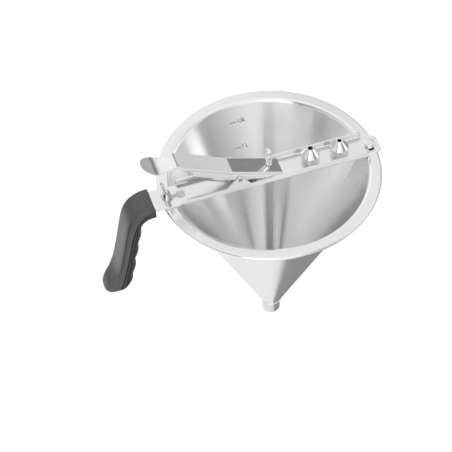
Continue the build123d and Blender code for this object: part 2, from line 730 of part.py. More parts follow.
def handle_grip():
    """Inner half of the handle, with grooves for the fingers."""
    line = Spline(*handle_points(GRIP_LINE_SHARES))
    half = handle_half([line], GRIP_ROUND)
    groove_radius = (FINGER_WIDTH * FINGER_WIDTH / 4 + FINGER_DEPTH * FINGER_DEPTH) / (2 * FINGER_DEPTH)
    for share in FINGER_PLACE_SHARES:
        way = line % share
        outwards = Vector(-way.Y, way.X)
        centre = line @ share + outwards * (groove_radius - FINGER_DEPTH)
        half -= upright_slab(Pos(centre.X, centre.Y) * Circle(groove_radius), HANDLE_WIDTH + OVERRUN)
    return half


PARTS = {
    "funnel_body": funnel_body(),
    "outlet_socket": outlet_socket(),
    "fitted_nozzle": fitted_nozzle(),
    "spare_nozzle_near": spare_nozzle(NEAR_POST_X, NEAR_HOLE_RADIUS),
    "spare_nozzle_far": spare_nozzle(FAR_POST_X, FAR_HOLE_RADIUS),
    "post_near": nozzle_post(NEAR_POST_X),
    "post_far": nozzle_post(FAR_POST_X),
    "bridge": bridge(),
    "lever": lever(),
    "pivot_pin": pivot_pin(),
    "return_spring": return_spring(),
    "piston_rod": piston_rod(),
    "piston_plug": piston_plug(),
    "rod_knob": rod_knob(),
    "clamp_stud": clamp_stud(),
    "wing_nut": wing_nut(),
    "catch_stud": catch_stud(),
    "handle_back": handle_back(),
    "handle_grip": handle_grip(),
}

os.makedirs("parts", exist_ok=True)
for node, shape in PARTS.items():
    export_step(shape, f"parts/{node}.step")
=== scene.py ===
"""Looks of the piston funnel on its CAD frame: finishes, litre marks, small trim and a plain studio.

Lengths and places are in metres, apart from the handle's cuts.
"""

import logging
import math
from dataclasses import dataclass
from enum import Enum
from typing import Any, Sequence

import bmesh
import bpy
from mathutils import Matrix, Vector


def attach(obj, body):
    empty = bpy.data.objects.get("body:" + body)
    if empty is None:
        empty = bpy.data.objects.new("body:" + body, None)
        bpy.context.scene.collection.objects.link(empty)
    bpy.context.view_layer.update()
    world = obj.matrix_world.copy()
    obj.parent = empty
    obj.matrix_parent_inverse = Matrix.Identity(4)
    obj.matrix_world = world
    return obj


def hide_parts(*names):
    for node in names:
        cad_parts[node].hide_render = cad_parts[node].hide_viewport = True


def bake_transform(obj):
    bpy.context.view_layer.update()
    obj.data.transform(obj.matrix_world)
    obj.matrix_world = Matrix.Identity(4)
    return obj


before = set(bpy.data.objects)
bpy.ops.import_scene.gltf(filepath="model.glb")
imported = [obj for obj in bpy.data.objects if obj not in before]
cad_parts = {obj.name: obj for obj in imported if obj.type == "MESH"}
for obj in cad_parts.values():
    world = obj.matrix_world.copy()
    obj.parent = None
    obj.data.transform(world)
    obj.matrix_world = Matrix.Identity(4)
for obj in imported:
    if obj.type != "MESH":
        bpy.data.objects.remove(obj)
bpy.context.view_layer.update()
LOG = logging.getLogger("piston_funnel")
MM = 0.001
RIM = 193.4 * MM
TURN = 2 * math.pi
NOISE_LOW, NOISE_HIGH = 0.3, 0.7
QUARTER_TURN = 0.25
WIRE_SIDES = 14
THREAD_SIDES = 4
THREAD_STEPS = 28
Pair = tuple[float, float]
Point = tuple[float, float, float]
Span = tuple[float, float, float, float]
Material = bpy.types.Material
Piece = bpy.types.Object
Socket = bpy.types.NodeSocket


class Grain(Enum):
    """Way that a steel piece's polishing lines run, with how fast they change along it."""

    ROUND = 0.35  # round the piece's own upright axis
    ALONG = 0.02  # along the bridge
    DRAWN = 0.1  # along a drawn wire


class NodeSheet:
    """A node tree under construction, with short calls to add and join nodes."""

    def __init__(self, tree: bpy.types.NodeTree) -> None:
        """Empties the tree to fill."""
        self.tree = tree
        tree.nodes.clear()

    def add(self, kind: str, settings: dict[str, Any] | None = None, **sockets: Any) -> bpy.types.Node:
        """Adds a node, sets its properties, and sets or joins its inputs.

        Args:
            kind: The node's type name.
            settings: Properties of the node itself.
            **sockets: Its inputs, as fill takes them.

        Returns:
            The new node.
        """
        node = self.tree.nodes.new(kind)
        for name, value in (settings or {}).items():
            setattr(node, name, value)
        self.fill(node, **sockets)
        return node

    def fill(self, node: bpy.types.Node, **sockets: Any) -> None:
        """Sets a node's inputs, or joins those that are given a socket.

        Args:
            node: The node.
            **sockets: Inputs by name with spaces as underscores, or i0, i1 by place.
        """
        for name, value in sockets.items():
            by_place = name[0] == "i" and name[1:].isdigit()
            socket = node.inputs[int(name[1:]) if by_place else name.replace("_", " ")]
            if isinstance(value, Socket):
                self.tree.links.new(value, socket)
            else:
                socket.default_value = value

    def place(self) -> Socket:
        """The place on the piece, in Object coordinates."""
        return self.add("ShaderNodeTexCoord").outputs["Object"]

    def parts(self, vector: Socket) -> Any:
        """Splits a vector into its X, Y and Z sockets."""
        return self.add("ShaderNodeSeparateXYZ", Vector=vector).outputs

    def math(self, way: str, first: Any, second: Any = 0.0) -> Socket:
        """Adds a sum, product or other step on numbers, such as ADD or MULTIPLY."""
        return self.add("ShaderNodeMath", {"operation": way}, i0=first, i1=second).outputs[0]

    def vector(self, way: str, first: Socket, **others: Any) -> Socket:
        """Adds a step on vectors, such as ADD or LENGTH."""
        node = self.add("ShaderNodeVectorMath", {"operation": way}, i0=first, **others)
        return node.outputs["Value" if way == "LENGTH" else "Vector"]

    def weighed(self, first: Socket, second: Socket, share: float) -> Socket:
        """Adds two numbers, the first one by a share and the second one by the rest."""
        rest = self.math("MULTIPLY", second, 1 - share)
        return self.math("ADD", self.math("MULTIPLY", first, share), rest)

    def mix(self, share: Socket, first: Any, second: Any) -> Socket:
        """Goes from the first number to the second one as the share goes from 0 to 1."""
        return self.add("ShaderNodeMix", {"data_type": "FLOAT"}, i0=share, i2=first, i3=second).outputs[0]

    def ramp(
        self, value: Socket, low: float, high: float,
        start: float = 0.0, end: float = 1.0, soft: bool = False,
    ) -> Socket:
        """Maps a number from one range to another and stops at its ends.

        Args:
            value: The number's socket.
            low: Where the range starts.
            high: Where the range ends.
            start: Result at low.
            end: Result at high.
            soft: Whether the ends are eased.

        Returns:
            The result's socket.
        """
        settings = {"interpolation_type": "SMOOTHSTEP" if soft else "LINEAR", "clamp": True}
        limits = {"From_Min": low, "From_Max": high, "To_Min": start, "To_Max": end}
        return self.add("ShaderNodeMapRange", settings, Value=value, **limits).outputs[0]

    def spread(self, noise: Socket, start: float, end: float) -> Socket:
        """Maps the middle of a noise's range to two values."""
        return self.ramp(noise, NOISE_LOW, NOISE_HIGH, start, end)

    def noise(self, vector: Socket, scale: float = 1.0, detail: float = 2.0) -> Socket:
        """Adds fixed noise from 0 to 1, with its features in a unit and its finer layers."""
        return self.add("ShaderNodeTexNoise", Vector=vector, Scale=scale, Detail=detail).outputs[0]

    def grey(self, tone: Socket, tint: float = 1.0) -> Socket:
        """Makes a grey colour from its tone, with its blue made stronger by the tint."""
        blue = self.math("MULTIPLY", tone, tint)
        return self.add("ShaderNodeCombineColor", i0=tone, i1=tone, i2=blue).outputs[0]


def shader_sheet(name: str) -> tuple[Material, NodeSheet, bpy.types.Node]:
    """Starts a material with a Principled shader.

    Args:
        name: The material's name.

    Returns:
        The material, its sheet and its shader node.
    """
    material = bpy.data.materials.new(name)
    material.use_nodes = True
    sheet = NodeSheet(material.node_tree)
    shader = sheet.add("ShaderNodeBsdfPrincipled")
    sheet.add("ShaderNodeOutputMaterial", Surface=shader.outputs[0])
    return material, sheet, shader


@dataclass(frozen=True)
class Finish:
    """What every finish has.

    Attributes:
        name: Name of the finish.
        tone: Grey of the surface, from 0 to 1.
        roughness: Its roughness.
    """

    name: str
    tone: float
    roughness: float


@dataclass(frozen=True)
class SteelFinish(Finish):
    """Stainless steel with fine polishing lines, a little smudging and a stretched gloss.

    Attributes:
        stretch: How far the gloss is drawn out across the lines.
        grain: Way that the lines run.
        pitch: Spacing of the fine lines.
        contrast: How far the lines change tone and roughness.
        relief: Depth of the lines.
    """

    stretch: float
    grain: Grain
    pitch: float
    contrast: float
    relief: float
    fine_share: float = 0.6  # of fine lines beside broad bands, and of both beside smudges
    band_scale: float = 0.06
    smudge_scale: float = 38.0
    tint: float = 1.004
    satin: float = 0.40  # roughness of a part that is left satin
    satin_edge: float = 0.2 * MM
    bump: float = 0.25

    def material(
        self, axis: Pair = (0.0, 0.0), satin_top: float | None = None, lean: float = 0.0,
    ) -> Material:
        """Makes the finish for a piece whose own axis stands at a place.

        Args:
            axis: X and Y of the piece's upright axis.
            satin_top: Height under which the piece is left satin, if it has such a part.
            lean: Slope by which the side faces of bowed sheet lean back in the light.

        Returns:
            The material.
        """
        material, sheet, shader = shader_sheet(self.name)
        place = sheet.place()
        lines = self.line_place(sheet, place, axis)
        fine = sheet.noise(lines, detail=3.0)
        broad = sheet.noise(sheet.vector("SCALE", lines, Scale=self.band_scale))
        smudge = sheet.noise(place, self.smudge_scale, 3.0)
        mixed = sheet.weighed(fine, broad, self.fine_share)
        tone = sheet.spread(mixed, *(self.tone * (1 + side * self.contrast / 2) for side in (-1, 1)))
        wiped = sheet.weighed(mixed, smudge, self.fine_share)
        rough = sheet.spread(wiped, *(self.roughness * (1 + side * self.contrast) for side in (-1, 1)))
        if satin_top is not None:
            edge = (satin_top - self.satin_edge, satin_top + self.satin_edge)
            rough = sheet.math("MAXIMUM", rough, sheet.ramp(sheet.parts(place)[2], *edge, self.satin, 0.0))
        bump = sheet.add("ShaderNodeBump", Strength=self.bump, Distance=self.relief, Height=fine)
        if lean:
            sheet.fill(bump, Normal=self.bowed(sheet, lean))
        if self.grain is Grain.ROUND:
            tangent = sheet.add("ShaderNodeTangent", {"direction_type": "RADIAL", "axis": "Z"})
        else:
            tangent = sheet.add("ShaderNodeCombineXYZ", X=1.0)
        sheet.fill(
            shader, Base_Color=sheet.grey(tone, self.tint), Roughness=rough, Metallic=1.0,
            Anisotropic=self.stretch, Anisotropic_Rotation=QUARTER_TURN,
            Normal=bump.outputs[0], Tangent=tangent.outputs[0],
        )
        return material

    def line_place(self, sheet: NodeSheet, place: Socket, axis: Pair) -> Socket:
        """Turns a place on the piece into one that changes fast only across the polishing lines.

        Args:
            sheet: The material's sheet.
            place: The place's socket.
            axis: X and Y of the piece's upright axis.

        Returns:
            The socket to read noise at.
        """
        each = 1.0 / self.pitch
        if self.grain is not Grain.ROUND:
            slow = each * self.grain.value
            return sheet.add("ShaderNodeMapping", Vector=place, Scale=(slow, each, each)).outputs[0]
        shift = (-axis[0], -axis[1], 0.0)
        x, y, z = sheet.parts(sheet.add("ShaderNodeMapping", Vector=place, Location=shift).outputs[0])
        flat = sheet.add("ShaderNodeCombineXYZ", X=x, Y=y).outputs[0]
        across = sheet.math("MULTIPLY", sheet.math("ADD", sheet.vector("LENGTH", flat), z), each)
        ways = sheet.parts(sheet.vector("NORMALIZE", flat))
        slow_x, slow_y = (sheet.math("MULTIPLY", part, self.grain.value) for part in ways[:2])
        return sheet.add("ShaderNodeCombineXYZ", X=slow_x, Y=slow_y, Z=across).outputs[0]

    @staticmethod
    def bowed(sheet: NodeSheet, lean: float) -> Socket:
        """Leans the normals of the side faces back.

        Args:
            sheet: The material's sheet.
            lean: Slope of the lean.

        Returns:
            The normal's socket.
        """
        normal = sheet.add("ShaderNodeNewGeometry").outputs["Normal"]
        across = sheet.math("ABSOLUTE", sheet.parts(normal)[1])
        lift = sheet.add("ShaderNodeCombineXYZ", Z=sheet.math("MULTIPLY", across, lean)).outputs[0]
        return sheet.vector("NORMALIZE", sheet.vector("ADD", normal, i1=lift))


@dataclass(frozen=True)
class MouldedFinish(Finish):
    """Dark moulded plastic with a fine spark-eroded skin.

    Attributes:
        grain: Size of the skin's grains.
        relief: Depth of the grains.
        gloss: Index of refraction, which sets how much the skin reflects.
    """

    grain: float
    relief: float
    gloss: float
    cloud_scale: float = 45.0
    tones: Pair = (0.9, 1.12)  # lowest and highest, as shares of the tone
    wear: Pair = (-0.05, 0.07)  # lowest and highest step of the roughness
    grain_share: float = 0.5
    tint: float = 1.02
    bump: float = 0.35

    def material(self) -> Material:
        """Makes the finish.

        Returns:
            The material.
        """
        material, sheet, shader = shader_sheet(self.name)
        place = sheet.place()
        grains = sheet.noise(place, 1.0 / self.grain)
        cloud = sheet.noise(place, self.cloud_scale, 3.0)
        tone = sheet.spread(cloud, *(self.tone * share for share in self.tones))
        handled = sheet.weighed(grains, cloud, self.grain_share)
        rough = sheet.spread(handled, *(self.roughness + step for step in self.wear))
        bump = sheet.add("ShaderNodeBump", Strength=self.bump, Distance=self.relief, Height=grains)
        colour = sheet.grey(tone, self.tint)
        sheet.fill(shader, Base_Color=colour, Roughness=rough, Normal=bump.outputs[0], IOR=self.gloss)
        return material


@dataclass(frozen=True)
class EtchedFinish(Finish):
    """Dull grey of a mark etched into steel."""

    speckles: float = 1600.0
    tones: Pair = (0.75, 1.3)  # lowest and highest, as shares of the tone
    metal: float = 0.4

    def material(self) -> Material:
        """Makes the finish.

        Returns:
            The material.
        """
        material, sheet, shader = shader_sheet(self.name)
        noise = sheet.noise(sheet.place(), self.speckles)
        tone = sheet.spread(noise, *(self.tone * share for share in self.tones))
        sheet.fill(shader, Base_Color=sheet.grey(tone), Metallic=self.metal, Roughness=self.roughness)
        return material


SPUN = SteelFinish("spun_satin_steel", 0.90, 0.19, 0.92, Grain.ROUND, 0.45 * MM, 0.07, 0.003 * MM)
TURNED = SteelFinish("turned_steel", 0.72, 0.22, 0.5, Grain.ROUND, 0.3 * MM, 0.14, 0.008 * MM)
SATIN = SteelFinish("satin_turned_steel", 0.80, 0.28, 0.4, Grain.ROUND, 0.3 * MM, 0.16, 0.006 * MM)
GROUND = SteelFinish("ground_rod_steel", 0.95, 0.40, 0.2, Grain.ROUND, 0.3 * MM, 0.10, 0.006 * MM)
POLISHED = SteelFinish("polished_steel", 0.86, 0.09, 0.3, Grain.ROUND, 0.3 * MM, 0.08, 0.002 * MM)
CAST = SteelFinish("cast_steel", 0.66, 0.12, 0.2, Grain.ROUND, 0.3 * MM, 0.12, 0.004 * MM)
SHEET = SteelFinish("brushed_sheet_steel", 0.88, 0.17, 0.6, Grain.ALONG, 0.35 * MM, 0.10, 0.004 * MM)
WIRE = SteelFinish("drawn_spring_wire", 0.62, 0.25, 0.2, Grain.DRAWN, 0.4 * MM, 0.16, 0.004 * MM)
MOULDED = MouldedFinish("moulded_dark_plastic", 0.032, 0.32, 0.55 * MM, 0.02 * MM, 1.8)
SOFT_GRIP = MouldedFinish("soft_grip_plastic", 0.016, 0.15, 0.45 * MM, 0.01 * MM, 1.6)
ETCHED = EtchedFinish("etched_mark", 0.12, 0.6)


def dress(node: str, material: Material) -> None:
    """Gives a CAD node's object one material all over.

    Args:
        node: The node's name.
        material: Its finish.
    """
    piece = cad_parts[node]
    piece.data.materials.clear()
    piece.data.materials.append(material)
    LOG.info("dressed %s in %s", node, material.name)


def carry(piece: Piece, body: str) -> Piece:
    """Lets a new piece ride on a body.

    Args:
        piece: The piece.
        body: The body that carries it.

    Returns:
        The same piece.
    """
    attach(piece, body)
    LOG.info("%s rides on %s, %d faces", piece.name, body, len(piece.data.polygons))
    return piece


def new_piece(name: str, data: Any) -> Piece:
    """Adds an object to the scene.

    Args:
        name: The piece's name.
        data: Its mesh, curve, light or camera.

    Returns:
        The object.
    """
    piece = bpy.data.objects.new(name, data)
    bpy.context.scene.collection.objects.link(piece)
    return piece


def plain_mesh(piece: Piece) -> Piece:
    """Turns a piece with modifiers, a text or a curve into a plain mesh object of the same name.

    Args:
        piece: The piece, which is removed.

    Returns:
        The new object.
    """
    bpy.context.view_layer.update()
    mesh = bpy.data.meshes.new_from_object(piece.evaluated_get(bpy.context.evaluated_depsgraph_get()))
    name = piece.name
    bpy.data.objects.remove(piece)
    mesh.name = name
    return new_piece(name, mesh)


def smooth_piece(name: str, shell: bmesh.types.BMesh, sharp: float, material: Material) -> Piece:
    """Turns a shell into a smooth-shaded piece.

    Args:
        name: The piece's name.
        shell: The shell, which is freed.
        sharp: Angle over which an edge stays sharp, in degrees.
        material: The piece's finish.

    Returns:
        The piece.
    """
    mesh = bpy.data.meshes.new(name)
    shell.to_mesh(mesh)
    shell.free()
    mesh.shade_smooth()
    mesh.set_sharp_from_angle(angle=math.radians(sharp))
    mesh.materials.append(material)
    return new_piece(name, mesh)


def poly_line(name: str, points: Sequence[Sequence[float]], closed: bool = False) -> bpy.types.Curve:
    """Makes a curve of straight runs.

    Args:
        name: The curve's name.
        points: Its places.
        closed: Whether it comes back to its start.

    Returns:
        The curve.
    """
    curve = bpy.data.curves.new(name, "CURVE")
    curve.dimensions = "3D"
    line = curve.splines.new("POLY")
    line.points.add(len(points) - 1)
    line.use_cyclic_u = closed
    for target, point in zip(line.points, points):
        target.co = (*point, 1.0)
    return curve


def ring_place(radius: float, turn: float, height: float) -> Point:
    """A place on a level ring about the axis."""
    return (radius * math.cos(turn), radius * math.sin(turn), height)


class ShapeTree:
    """A Geometry Nodes tree with named inputs that ends in Realize Instances and Set Material."""

    def __init__(self, name: str, inputs: Sequence[tuple[str, str]]) -> None:
        """Starts the tree.

        Args:
            name: The tree's name.
            inputs: Name and socket type of each input after the geometry.
        """
        self.tree = bpy.data.node_groups.new(name, "GeometryNodeTree")
        self.sheet = NodeSheet(self.tree)
        self.keys = {}
        face = self.tree.interface
        face.new_socket("Geometry", in_out="INPUT", socket_type="NodeSocketGeometry")
        for label, kind in (*inputs, ("Finish", "NodeSocketMaterial")):
            self.keys[label] = face.new_socket(label, in_out="INPUT", socket_type=kind).identifier
        face.new_socket("Geometry", in_out="OUTPUT", socket_type="NodeSocketGeometry")
        self.inputs = self.sheet.add("NodeGroupInput").outputs

    def sweep(self, line: Socket, sides: int, radius: Socket) -> None:
        """Ends the tree with a smooth sweep along a line, Realize Instances and Set Material.

        Args:
            line: The line's socket.
            sides: How many sides the sweep has.
            radius: Socket of its radius.
        """
        add, finish = self.sheet.add, self.inputs["Finish"]
        ring = add("GeometryNodeCurvePrimitiveCircle", Resolution=sides, Radius=radius).outputs[0]
        shape = add("GeometryNodeCurveToMesh", Curve=line, Profile_Curve=ring, Fill_Caps=True).outputs[0]
        for kind in ("GeometryNodeSetShadeSmooth", "GeometryNodeRealizeInstances"):
            shape = add(kind, Geometry=shape).outputs[0]
        shape = add("GeometryNodeSetMaterial", Geometry=shape, Material=finish).outputs[0]
        add("NodeGroupOutput", Geometry=shape)

    def make(self, name: str, data: Any, material: Material, **values: Any) -> Piece:
        """Runs the tree on a mesh or curve and gives the result as a plain mesh object.

        Args:
            name: The piece's name.
            data: The mesh or curve that the tree reads.
            material: The piece's finish.
            **values: The tree's other inputs by name.

        Returns:
            The piece.
        """
        piece = new_piece(name, data)
        modifier = piece.modifiers.new("shape", "NODES")
        modifier.node_group = self.tree
        for label, value in {**values, "Finish": material}.items():
            modifier[self.keys[label]] = value
        return plain_mesh(piece)


def wire_tree() -> ShapeTree:
    """Makes the tree that draws a round wire along a curve.

    Returns:
        The tree, with the input Radius.
    """
    tree = ShapeTree("wire_along_curve", [("Radius", "NodeSocketFloat")])
    tree.sweep(tree.inputs["Geometry"], WIRE_SIDES, tree.inputs["Radius"])
    return tree


def thread_tree() -> ShapeTree:
    """Makes the tree that winds a thread's ridge round an upright stud.

    Returns:
        The tree, with the inputs Radius, Pitch, Turns, Ridge and Foot.
    """
    numbers = [(label, "NodeSocketFloat") for label in ("Radius", "Pitch", "Turns", "Ridge")]
    tree = ShapeTree("thread_ridge", [*numbers, ("Foot", "NodeSocketVector")])
    sheet, inputs = tree.sheet, tree.inputs
    line = sheet.add(
        "GeometryNodeCurveSpiral", Resolution=THREAD_STEPS, Rotations=inputs["Turns"],
        Start_Radius=inputs["Radius"], End_Radius=inputs["Radius"],
        Height=sheet.math("MULTIPLY", inputs["Pitch"], inputs["Turns"]),
    ).outputs[0]
    placed = sheet.add("GeometryNodeTransform", Geometry=line, Translation=inputs["Foot"]).outputs[0]
    tree.sweep(placed, THREAD_SIDES, inputs["Ridge"])
    return tree


@dataclass
class FunnelBowl:
    """Spun cone with its outlet and the nozzle on it, the bead at its foot and the litre marks inside."""

    mouth_radius: float = 93.9 * MM
    outlet_radius: float = 8.3 * MM
    cone_height: float = 188.0 * MM
    mark_lift: float = 0.06 * MM
    mark_width: float = 0.55 * MM
    line_steps: int = 16
    letter_height: float = 4.0 * MM
    letter_share: float = 0.69  # figure's height over the font's size
    letter_steps: int = 4
    letter_drop: float = 1.2 * MM
    letter_weight: float = 0.05 * MM
    marks: tuple[tuple[str, str, float, float], ...] = (
        ("one_and_half", "1,5L", -16.9 * MM, 0.86), ("one", "1L", -41.6 * MM, 1.35),
    )
    line_angles: Pair = (97.4, 92.7)
    letters_angle: float = 92.3
    bead_radius: float = 9.65 * MM
    bead_height: float = 5.2 * MM
    bead_size: float = 0.75 * MM
    bead_steps: int = 96

    def build(self, wires: ShapeTree) -> None:
        """Dresses the funnel's nodes and adds the bead at the cone's foot and the marks.

        Args:
            wires: Tree that draws a round wire along a curve.
        """
        dress("funnel_body", SPUN.material())
        dress("outlet_socket", SATIN.material())
        dress("fitted_nozzle", SATIN.material())
        bead = wires.make("foot_bead", self.bead_line(), GROUND.material(), Radius=self.bead_size)
        carry(bead, "funnel")
        etched = ETCHED.material()
        for name, words, depth, spacing in self.marks:
            carry(self.mark_line(f"litre_line_{name}", depth, etched), "funnel")
            letters = self.mark_letters(f"litre_words_{name}", words, depth, spacing, etched)
            carry(letters, "funnel")

    def bead_line(self) -> bpy.types.Curve:
        """The ring on which the bead between the cone and its collar lies.

        Returns:
            The curve.
        """
        turns = (TURN * step / self.bead_steps for step in range(self.bead_steps))
        ring = [ring_place(self.bead_radius, turn, self.bead_height) for turn in turns]
        return poly_line("bead_line", ring, closed=True)

    def wall_point(self, angle: float, depth: float) -> Vector:
        """A place just inside the cone's wall.

        Args:
            angle: Angle about the axis, in degrees.
            depth: Height above the rim's plane.

        Returns:
            The place.
        """
        share = (depth + self.cone_height) / self.cone_height
        radius = self.outlet_radius + (self.mouth_radius - self.outlet_radius) * share - self.mark_lift
        return Vector(ring_place(radius, math.radians(angle), RIM + depth))

    def mark_line(self, name: str, depth: float, material: Material) -> Piece:
        """Short level line on the wall.

        Args:
            name: The piece's name.
            depth: Height above the rim's plane.
            material: Its finish.

        Returns:
            The piece.
        """
        start, end = self.line_angles
        points = []
        for step in range(self.line_steps + 1):
            angle = start + (end - start) * step / self.line_steps
            points += [self.wall_point(angle, depth + side * self.mark_width / 2) for side in (-1, 1)]
        faces = [(2 * step, 2 * step + 2, 2 * step + 3, 2 * step + 1) for step in range(self.line_steps)]
        mesh = bpy.data.meshes.new(name)
        mesh.from_pydata(points, [], faces)
        mesh.materials.append(material)
        return new_piece(name, mesh)

    def mark_letters(self, name: str, words: str, depth: float, spacing: float, material: Material) -> Piece:
        """Figures on the wall to the right of a mark's line.

        Args:
            name: The piece's name.
            words: The figures.
            depth: Height of their line above the rim's plane.
            spacing: How far apart the figures stand, 1 for the font's own way.
            material: Their finish.

        Returns:
            The piece.
        """
        text = bpy.data.curves.new(name, "FONT")
        text.body = words
        text.size = self.letter_height / self.letter_share
        text.resolution_u = self.letter_steps
        text.space_character = spacing
        text.offset = self.letter_weight
        piece = plain_mesh(new_piece(name, text))
        upright = self.cone_height / math.hypot(self.cone_height, self.mouth_radius - self.outlet_radius)
        for corner in piece.data.vertices:
            height = depth + (corner.co.y - self.letter_drop) * upright
            across = math.degrees(corner.co.x / self.wall_point(0.0, depth).x)
            corner.co = self.wall_point(self.letters_angle - across, height)
        piece.data.materials.clear()
        piece.data.materials.append(material)
        return piece


@dataclass
class WingNut:
    """Cast wing nut on the clamp stud, with rounded wings on a tapered hub."""

    place: Point = (-100.0 * MM, 0.0, RIM + 1.7 * MM)
    turn: float = 12.0
    bore: float = 2.05 * MM
    hub_radius: float = 4.4 * MM
    hub_top_radius: float = 3.3 * MM
    hub_height: float = 7.0 * MM
    hub_round: float = 0.6 * MM
    hub_steps: int = 64
    sheet: float = 1.8 * MM
    wing_round: float = 0.7 * MM
    wing_steps: int = 20
    root: Point = (3.85 * MM, 3.4 * MM, 1.7 * MM)
    lobe: Point = (9.0 * MM, 8.6 * MM, 2.9 * MM)
    round_steps: int = 4
    sharp: float = 50.0

    def build(self, material: Material) -> None:
        """Casts the nut, which stands for its CAD node.

        Args:
            material: Its finish.
        """
        shell = bmesh.new()
        self.hub(shell)
        for side in (-1, 1):
            self.wing(shell, side)
        bmesh.ops.recalc_face_normals(shell, faces=shell.faces)
        seat = Matrix.Translation(self.place) @ Matrix.Rotation(math.radians(self.turn), 4, "Z")
        bmesh.ops.transform(shell, matrix=seat, verts=shell.verts)
        nut = smooth_piece("cast_wing_nut", shell, self.sharp, material)
        piece = carry(nut, "wing_nut")
        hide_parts("wing_nut")

    def rounding(self, radius: float) -> list[Pair]:
        """Steps of a rounded edge: how far each lies in from the one side and from the other."""
        bends = [math.radians(90.0 * step / self.round_steps) for step in range(self.round_steps + 1)]
        return [(radius * (1 - math.cos(bend)), radius * (1 - math.sin(bend))) for bend in bends]

    def hub(self, shell: bmesh.types.BMesh) -> None:
        """Adds the tapered hub with its bore.

        Args:
            shell: The mesh to add to.
        """
        edge = self.rounding(self.hub_round)
        top = [(self.hub_top_radius - back, self.hub_height - drop) for back, drop in edge]
        profile = [(self.bore, 0.0), (self.hub_radius, 0.0), *top, (self.bore, self.hub_height)]
        rings = []
        for step in range(self.hub_steps):
            turn = TURN * step / self.hub_steps
            rings.append([shell.verts.new(ring_place(radius, turn, z)) for radius, z in profile])
        for here, there in zip(rings, rings[1:] + rings[:1]):
            for k in range(len(profile)):
                after = (k + 1) % len(profile)
                shell.faces.new((here[k], there[k], there[after], here[after]))

    def wing(self, shell: bmesh.types.BMesh, side: int) -> None:
        """Adds one wing round two circles, with sunk faces inside a rounded edge.

        Args:
            shell: The mesh to add to.
            side: 1 for the wing to the rear, -1 for the one to the front.
        """
        (x0, z0, r0), (x1, z1, r1) = self.root, self.lobe
        lean = math.atan2(z1 - z0, x1 - x0)
        open_half = math.acos((r0 - r1) / math.hypot(x1 - x0, z1 - z0))
        arcs = (
            (x1, z1, r1, lean - open_half, lean + open_half),
            (x0, z0, r0, lean + open_half, lean + TURN - open_half),
        )
        half, edge = self.sheet / 2, self.rounding(self.wing_round)
        layers = [(rise - half, inset) for rise, inset in reversed(edge)]
        layers += [(half - rise, inset) for rise, inset in edge]
        loops = []
        for across, inset in layers:
            loop = []
            for centre_x, centre_z, radius, start, end in arcs:
                reach = radius - inset
                for step in range(self.wing_steps + 1):
                    turn = start + (end - start) * step / self.wing_steps
                    out = side * (centre_x + reach * math.cos(turn))
                    loop.append(shell.verts.new((across, out, centre_z + reach * math.sin(turn))))
            loops.append(loop)
        size = len(loops[0])
        for low, high in zip(loops, loops[1:]):
            for k in range(size):
                shell.faces.new((low[k], low[(k + 1) % size], high[(k + 1) % size], high[k]))
        shell.faces.new(loops[0])
        shell.faces.new(loops[-1])


@dataclass
class Bridge:
    """Folded bridge with its spare nozzles, posts, studs and wing nut."""

    stud_x: float = 100.0 * MM
    posts: tuple[tuple[str, float], ...] = (("near", 41.0 * MM), ("far", 70.0 * MM))
    lean: float = 0.45
    thread_radius: float = 1.95 * MM
    thread_pitch: float = 0.7 * MM
    thread_ridge: float = 0.22 * MM
    nut_top: float = 9.0 * MM
    stud_top: float = 11.3 * MM
    barrel_top: float = RIM + 9.9 * MM

    def build(self, threads: ShapeTree) -> None:
        """Dresses the bridge's nodes and cuts the clamp stud's thread.

        Args:
            threads: Tree that winds a thread's ridge.
        """
        dress("bridge", SHEET.material(lean=self.lean))
        for name, place in self.posts:
            dress(f"post_{name}", TURNED.material((place, 0.0)))
            dress(f"spare_nozzle_{name}", POLISHED.material((place, 0.0), self.barrel_top))
        stud = TURNED.material((-self.stud_x, 0.0))
        dress("clamp_stud", stud)
        WingNut().build(CAST.material((-self.stud_x, 0.0)))
        dress("catch_stud", POLISHED.material((self.stud_x, 0.0)))
        thread = threads.make(
            "clamp_stud_thread", bpy.data.meshes.new("clamp_stud_thread"), stud,
            Radius=self.thread_radius, Pitch=self.thread_pitch, Ridge=self.thread_ridge,
            Turns=(self.stud_top - self.nut_top) / self.thread_pitch,
            Foot=(-self.stud_x, 0.0, RIM + self.nut_top),
        )
        carry(thread, "funnel")


